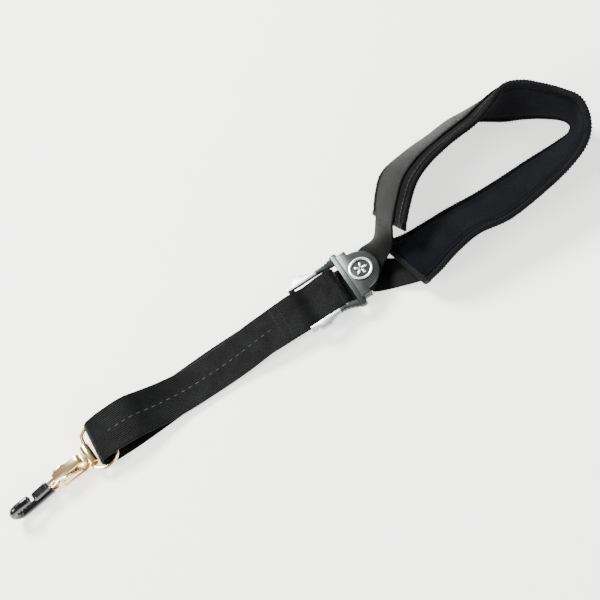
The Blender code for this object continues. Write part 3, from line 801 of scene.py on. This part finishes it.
def webObject(name, grid, lengths, body=None, replaced=(), normals=None):
    thick = webValues["thick"] / 2
    factor = np.broadcast_to(webFactor, grid.shape[:2])
    made = sheetObject(
        name, grid, factor, np.full(grid.shape[:2], thick), np.full(grid.shape[:2], thick),
        webPlaces * webValues["width"], lengths, finishes["webbing"], normals,
    )
    if body:
        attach(made, body)
    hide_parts(*replaced)
    return made


def edgeRow(edgeA, edgeB, lift=0.0):
    a, b = np.array(edgeA, float), np.array(edgeB, float)
    t = webPlaces[:, None]
    return a + (b - a) * t + np.array([0, 0, 1.0]) * (4 * lift * t * (1 - t))


tailValues = {
    "left": (
        ((7.5, 12.2, 7.6), (7.5, -12.2, 7.6), 0.0), ((11.0, 12.8, 7.0), (11.0, -11.6, 7.6), 0.0),
        ((16.0, 15.2, 4.8), (19.8, -4.8, 9.0), 0.5), ((25.0, 14.4, 7.4), (30.0, -1.0, 15.5), 3.6),
    ),
    "right": (
        ((7.5, 12.2, 3.2), (7.5, -12.2, 3.2), 0.0), ((11.5, 10.2, 3.1), (11.0, -14.2, 3.0), 0.0),
        ((19.0, 6.8, 2.3), (20.0, -17.6, 2.2), 0.0),
    ),
}


def neckWebbing():
    reach = webValues["width"] / bandValues["width"] / 2
    lift = bandValues["half"] + 0.3 + webValues["thick"] / 2
    share = np.linspace(0, 1, 240)
    low = 0.5 - reach + bandValues["webShift"] * np.maximum(0, share - 0.85) / 0.15
    across = low[:, None] + 2 * reach * webPlaces[None, :]
    s = np.broadcast_to(share[:, None], across.shape)
    point, normal, _ = bandFrame(s, across)
    ripple = 0.12 * softWave(s, across, 1.7)
    onPad = point + normal * (lift + ripple)[..., None]
    parts = []
    for tail, first, then in (
        (tailValues["left"], onPad[0], onPad[6]), (tailValues["right"], onPad[-1], onPad[-7]),
    ):
        rows = np.array([*[edgeRow(*row) for row in tail], first, then])
        parts.append(smoothRows(rows, 10)[: 10 * len(tail)])
    grid = np.concatenate([parts[0], onPad, parts[1][::-1]])
    grid, lengths = evenRows(grid, webValues["step"])
    made = webObject("neckWebbing", grid, lengths, "band", ("neck_webbing",))
    normals = gridNormals(grid)
    if np.sum(normals[len(grid) // 2] * bandFrame(0.5, 0.5)[1]) < 0:
        normals = -normals
    return grid, normals, lengths


neckGrid, neckNormals, neckLengths = neckWebbing()


def seamOn(grid, normals, place, first, last, lift):
    k = int(round(np.interp(place, webPlaces, np.arange(len(webPlaces)))))
    return [(grid[i, k] + normals[i, k] * lift, normals[i, k]) for i in range(first, last)]


def neckStitches():
    # two rows hold the webbing to the band and run out on to its tails
    first = int(np.searchsorted(neckLengths, 26))
    last = int(np.searchsorted(neckLengths, neckLengths[-1] - 20))
    seams = [
        seamOn(neckGrid, neckNormals, place, first, last, webValues["threadLift"]) for place in (0.09, 0.91)
    ]
    bars = []
    for length in (31.5, 34.0, neckLengths[-1] - 23.5):
        i = int(np.searchsorted(neckLengths, length))
        bars.append(
            [
                (
                    neckGrid[i, k] + neckNormals[i, k] * webValues["threadLift"], neckNormals[i, k],
                ) for k in range(5, len(webPlaces) - 5)
            ]
        )
    made = threadObject(
        "neckStitches", seams + bars, {
            "pitch": 2.7, "size": (0.16, 0.25, 1.0), "unevenness": 0.1, "seed": 2,
        }, finishes["darkThread"])
    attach(made, "band")


neckStitches()

runValues = {
    "through": (
        (9.5, 0, 5.5), (7.0, 0.2, 5.1), (3.8, 0.7, 2.4), (1.6, 1.0, 0.65), (-10, 2.0, 0.65), (-24, 2.6, 0.65),
        (-40, 3.0, 0.65), (-80, 3.4, 0.65), (-110, 2.4, 0.65), (-130, 1.0, 0.65), (-150, 0.0, 0.65),
        (-160, 0.0, 0.65),
    ),
    "low": 0.65, "foldCentre": (-167.5, 5.6), "foldRadius": 4.95, "foldSkew": 1.42,
    "foldTop": ((-160.0, 10.8, 16.4), (-164.5, 10.5, 15.6)),
    "front": (
        (-160.0, 10.8, 16.4), (-150, 10.4, 17.0), (-143, 9.2, 16.0), (-135.7, 7.0, 12.5), (-126, 4.8, 8.0),
        (-112, 3.2, 3.8), (-98, 3.2, 3.2), (-86, 3.4, 3.6), (-74, 4.4, 5.6), (-62, 6.6, 7.6),
        (-51.9, 8.55, 8.45),
    ),
    "endTop": ((-51.9, 8.5), (-44, 9.3), (-34, 9.8), (-25, 8.1), (-16, 9.6)),
    "endBottom": ((-16, 5.1), (-25, 6.1), (-34, 8.0), (-44, 7.5), (-51.7, 6.7)),
    "crossbar": (-8.0, 7.4), "turn": 2.55,
    "patchLines": (-49.0, -43.5),
}


def crossRow(x, zNear, zFar, shift=0.0):
    reach = webValues["width"] / 2
    return edgeRow((x, shift - reach, zNear), (x, shift + reach, zFar))


def arcPoints(centre, radius, start, end, steps):
    turn = np.radians(np.linspace(start, end, steps + 1))
    return np.stack([centre[0] + radius * np.cos(turn), centre[1] + radius * np.sin(turn)], axis=1)


def lowerWebbing():
    low = runValues["low"]
    path = smoothRows(runValues["through"], 8)
    rows = np.array([crossRow(x, max(z, low), max(z, low), y) for x, y, z in path])
    grid, lengths = evenRows(rows, webValues["step"])
    through = webObject("throughRun", grid, lengths, None, ("through_run",))
    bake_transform(through)

    # fold, front run and sewn end are one length, cut where the bodies part
    bend = arcPoints(runValues["foldCentre"], runValues["foldRadius"], 270, 90, 22)
    fold = [(-160.0, low, low), (-164.5, low, low)]
    fold += [(x, z, low + (z - low) * runValues["foldSkew"]) for x, z in bend]
    fold = smoothRows(fold + list(runValues["foldTop"][::-1]), 3)
    front = smoothRows(runValues["front"], 8)
    turn = arcPoints(runValues["crossbar"], runValues["turn"], 100, -100, 18)
    end = np.concatenate([smoothRows(runValues["endTop"], 6), turn, smoothRows(runValues["endBottom"], 6)])
    path = np.concatenate([fold, front[1:], end[1:, [0, 1, 1]]])
    grid, lengths = evenRows(np.array([crossRow(*row) for row in path]), 1.2)
    middle = grid[:, len(webPlaces) // 2, 0]
    first = int(np.argmax(middle[20:] > -160.0)) + 20
    second = int(np.argmax(middle > -51.9))
    normals = gridNormals(grid)
    webObject(
        "hookFold", grid[:first + 1], lengths[:first + 1], "hook_loop", ("loop_fold",),
        normals[:first + 1],
    )
    part = slice(first, second + 1)
    front = webObject("frontRun", grid[part], lengths[part], None, ("front_run",), normals[part])
    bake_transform(front)
    webObject("endLoop", grid[second:], lengths[second:], "adjuster", ("end_loop",), normals[second:])

    outward = normals * np.sign(normals[second, 0, 2])
    seam = seamOn(grid, outward, 0.5, first + 1, second - 1, webValues["threadLift"])
    run = threadObject(
        "frontStitches", [seam], {
            "pitch": 4.6, "size": (0.14, 0.24, 1.25), "unevenness": 0.12, "seed": 7,
        }, finishes["seamThread"])
    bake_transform(run)
    rows = {}
    for name, x in zip(("patch_thread_rear", "patch_thread_front"), runValues["patchLines"]):
        i = second + int(np.argmax(middle[second:] > x))
        rows[name] = [
            (
                grid[i, k] + outward[i, k] * webValues["threadLift"], outward[i, k],
            ) for k in range(6, len(webPlaces) - 6)
        ]
    made = threadObject(
        "patchStitches", list(rows.values()), {
            "pitch": 2.3, "size": (0.16, 0.26, 0.9), "unevenness": 0.1, "seed": 8,
        }, finishes["darkThread"])
    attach(made, "adjuster")
    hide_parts(*rows)


lowerWebbing()
print("webbing made")


# metal pieces: the frame's own solids with rounded, rubbed edges

def refined(node, name, material, width, segments=2, melted=False, angle=32, flat=0.02):
    source = frame["nodes"][node]
    mesh = source.data.copy()
    mesh.name = name
    bm = bmesh.new()
    bm.from_mesh(mesh)
    bmesh.ops.remove_doubles(bm, verts=bm.verts, dist=2e-6)
    bmesh.ops.dissolve_limit(bm, angle_limit=flat, verts=bm.verts, edges=bm.edges)
    bm.to_mesh(mesh)
    bm.free()
    made = newObject(name, mesh)
    mesh.materials.clear()
    mesh.materials.append(material)
    bevel = made.modifiers.new("rounded", "BEVEL")
    bevel.width = width * mm
    bevel.segments = segments
    bevel.limit_method = "ANGLE"
    bevel.angle_limit = math.radians(angle)
    bevel.use_clamp_overlap = True
    if melted:
        grown = made.modifiers.new("dipped", "REMESH")
        grown.mode = "VOXEL"
        grown.voxel_size = 0.24 * mm
        eased = made.modifiers.new("eased", "SMOOTH")
        eased.factor = 0.5
        eased.iterations = 36
    bpy.context.view_layer.update()
    graph = bpy.context.evaluated_depsgraph_get()
    baked = bpy.data.meshes.new_from_object(made.evaluated_get(graph))
    made.modifiers.clear()
    made.data = baked
    baked.name = name
    baked.shade_smooth()
    if not melted:
        baked.set_sharp_from_angle(angle=math.radians(38))
    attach(made, source["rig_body"])
    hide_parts(node)
    return made


refined("adjuster_frame", "adjusterFrame", finishes["gunmetal"], 0.35)
refined("adjuster_plate", "adjusterPlate", finishes["gunmetal"], 0.5, 3)
refined("crossbar", "crossbar", finishes["steel"], 0.2)
refined("hook_body", "hookBody", finishes["gold"], 0.22)
refined("thumb_lever", "thumbLever", finishes["gold"], 0.2)
refined("lever_sleeve", "leverSleeve", finishes["vinyl"], 0.3, melted=True)
refined("lever_pin", "leverPin", finishes["steel"], 0.2)
spring = refined("lever_spring", "leverSpring", finishes["steel"], 0.08)
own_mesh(spring)

emblemValues = {"centre": (8.6, 0.0), "base": 12.2, "radius": 7.0, "band": 1.5, "height": 0.55, "spokes": 5}


def emblem():
    # a plain ring round a five-petalled rosette
    cx, cy = emblemValues["centre"]
    bm = bmesh.new()
    outer, inner = emblemValues["radius"], emblemValues["radius"] - emblemValues["band"]
    count = 72
    low, high = emblemValues["base"], emblemValues["base"] + emblemValues["height"]
    loops = []
    for radius, z in (
        (outer, low), (outer, high - 0.15), (outer - 0.15, high), (inner + 0.15, high),
        (inner, high - 0.15), (inner, low),
    ):
        loops.append([bm.verts.new(((cx + radius * math.cos(2 * math.pi * k / count)) * mm,
                                    (
                                        cy + radius * math.sin(2 * math.pi * k / count)
                                    ) * mm, z * mm)) for k in range(count)])
    for a, b in zip(loops, loops[1:] + loops[:1]):
        for k in range(count):
            bm.faces.new((a[k], a[(k + 1) % count], b[(k + 1) % count], b[k]))
    for k in range(emblemValues["spokes"]):
        turn = 2 * math.pi * k / emblemValues["spokes"]
        place = Matrix.Translation((cx * mm, cy * mm, (low + 0.12) * mm)) @ Matrix.Rotation(turn, 4, "Z")
        place = place @ Matrix.Translation((2.3 * mm, 0, 0)) @ Matrix.Diagonal(
            (1.75 * mm, 0.85 * mm, 0.42 * mm, 1)
        )
        bmesh.ops.create_uvsphere(bm, u_segments=20, v_segments=10, radius=1.0, matrix=place)
    bmesh.ops.recalc_face_normals(bm, faces=bm.faces)
    mesh = bpy.data.meshes.new("badgeEmblem")
    bm.to_mesh(mesh)
    bm.free()
    mesh.shade_smooth()
    mesh.set_sharp_from_angle(angle=math.radians(50))
    mesh.materials.append(finishes["silver"])
    made = newObject("badgeEmblem", mesh)
    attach(made, "adjuster")
    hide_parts("badge_emblem")


emblem()
print("adjuster made")

ringValues = {
    "centre": (-162.0, 0.0, 5.6), "wire": 1.1,
    "path": ((0.8, 0.0), (0.6, 6.0), (-0.6, 10.4), (-3.0, 13.2), (-6.5, 14.5), (-9.8, 14.5), (-12.6, 13.2),
             (-15.2, 11.2), (-15.9, 9.2), (-15.9, 0.0)),
}


def hookRing():
    half = smoothRows(ringValues["path"], 8)
    centre = np.array(ringValues["centre"])
    ring = [(x, y, 0) for x, y in half] + [(x, -y, 0) for x, y in half[-2:0:-1]]
    ring = np.array(ring) + centre
    up = np.tile([0.0, 0.0, 1.0], (len(ring), 1))
    size = np.full(len(ring), ringValues["wire"])
    made = tubeObject(
        "hookRing", ring, {"up": up, "side": size, "normal": size}, 20, finishes["gold"], closed=True,
    )
    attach(made, "ring")
    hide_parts("hook_ring")


hookRing()

jawValues = {
    "place": (-177.9, -2.4, 5.6), "turn": 8.0, "radius": 2.36,
    "arm": ((-24, -2.1), (-30, -2.4), (-38, -2.7), (-45, -2.7)),
    "curlCentre": (-47.6, 2.0), "curlRadius": 4.7, "curlEnd": ((-44.5, 6.5), (-40.3, 6.0)), "capLength": 1.15,
}


def jawSleeve():
    # the dipped sleeve over the curl, fuller at its rim and rounded at its tip
    arm = smoothRows(jawValues["arm"], 6)[4:]
    curl = arcPoints(jawValues["curlCentre"], jawValues["curlRadius"], -100, -265, 30)[1:]
    end = smoothRows(jawValues["curlEnd"], 6)
    last = end[-1] + unit(end[-1] - end[-2]) * jawValues["capLength"]
    path = np.concatenate([arm, curl, end, [last]])
    reach = np.concatenate([[0], np.cumsum(np.linalg.norm(np.diff(path, axis=0), axis=1))])
    places = np.concatenate(
        [
            [0, 0.12, 0.5], np.linspace(1.2, reach[-1] - 1.6, 90),
            reach[-1] - np.array([1.2, 0.8, 0.4, 0.15, 0.0]),
        ]
    )
    path = np.stack([np.interp(places, reach, path[:, k]) for k in (0, 1)], axis=1)
    full = np.full(len(path), jawValues["radius"])
    full[:3] *= (0.86, 0.97, 1.03)
    full[-5:] *= (0.97, 0.9, 0.76, 0.58, 0.32)
    turn = math.radians(jawValues["turn"])
    x0, y0, z0 = jawValues["place"]
    points = np.stack(
        [x0 + path[:, 0] * math.cos(turn), y0 + path[:, 0] * math.sin(turn), z0 + path[:, 1]], axis=1,
    )
    up = np.tile([-math.sin(turn), math.cos(turn), 0.0], (len(points), 1))
    made = tubeObject("jawSleeve", points, {"up": up, "side": full, "normal": full}, 28, finishes["vinyl"])
    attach(made, "hook")
    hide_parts("jaw_sleeve")


jawSleeve()
print("hook made")


# floor, light and camera

def simpleMaterial(name, low, high, roughness):
    made, tree, shader = newMaterial(
        name, {"Roughness": roughness, "Emission Color": (1.0, 0.985, 0.96, 1), "Emission Strength": 1.3})
    grain = groupNode(tree, "ShaderNodeGroup", node_tree=surfaceGrain)
    grain.inputs["Broad Scale"].default_value = 3.0
    tree.links.new(
        colourRamp(tree, grain.outputs["Broad"], ((0.3, low), (0.7, high))), shader.inputs["Base Color"],
    )
    return made


bpy.ops.mesh.primitive_plane_add(size=30)
floor = bpy.context.object
floor.name = "floor"
floor.data.materials.append(simpleMaterial("paleFloor", (0.93, 0.925, 0.915), (0.95, 0.945, 0.935), 0.8))

lightValues = {
    "key": {"place": (-0.32, 1.15, 1.2), "size": 0.55, "power": 80.0, "colour": (1.0, 0.985, 0.955)},
    "side": {"place": (-1.15, -0.1, 0.95), "size": 0.6, "power": 26.0, "colour": (1.0, 0.99, 0.97)},
    "fill": {"place": (0.75, -0.95, 1.1), "size": 1.2, "power": 20.0, "colour": (0.97, 0.98, 1.0)},
}
for name, values in lightValues.items():
    lamp = bpy.data.lights.new(name, "AREA")
    lamp.energy = values["power"]
    lamp.size = values["size"]
    lamp.color = values["colour"]
    lampObject = bpy.data.objects.new(name, lamp)
    bpy.context.scene.collection.objects.link(lampObject)
    lampObject.location = values["place"]
    lampObject.rotation_euler = (
        Vector((-0.02, 0, 0)) - Vector(values["place"])
    ).to_track_quat("-Z", "Y").to_euler()

world = bpy.data.worlds.new("studio")
bpy.context.scene.world = world
world.use_nodes = True
world.node_tree.nodes["Background"].inputs[0].default_value = (1.0, 0.955, 0.88, 1)
world.node_tree.nodes["Background"].inputs[1].default_value = 0.32

cameraValues = {
    "place": (-0.0297, -0.2476, 0.4663), "lens": 55.22,
    "look": (0.0, 0.485, -0.875), "right": (0.839, -0.476, -0.264),
}
cameraData = bpy.data.cameras.new("camera")
cameraData.lens = cameraValues["lens"]
cameraData.sensor_width = 36.0
camera = bpy.data.objects.new("camera", cameraData)
bpy.context.scene.collection.objects.link(camera)
look = Vector(cameraValues["look"]).normalized()
right = Vector(cameraValues["right"]).normalized()
up = right.cross(look).normalized()
right = look.cross(up)
turned = Matrix((right, up, -look)).transposed().to_4x4()
camera.matrix_world = Matrix.Translation(cameraValues["place"]) @ turned
bpy.context.scene.camera = camera
print("floor, light and camera set")
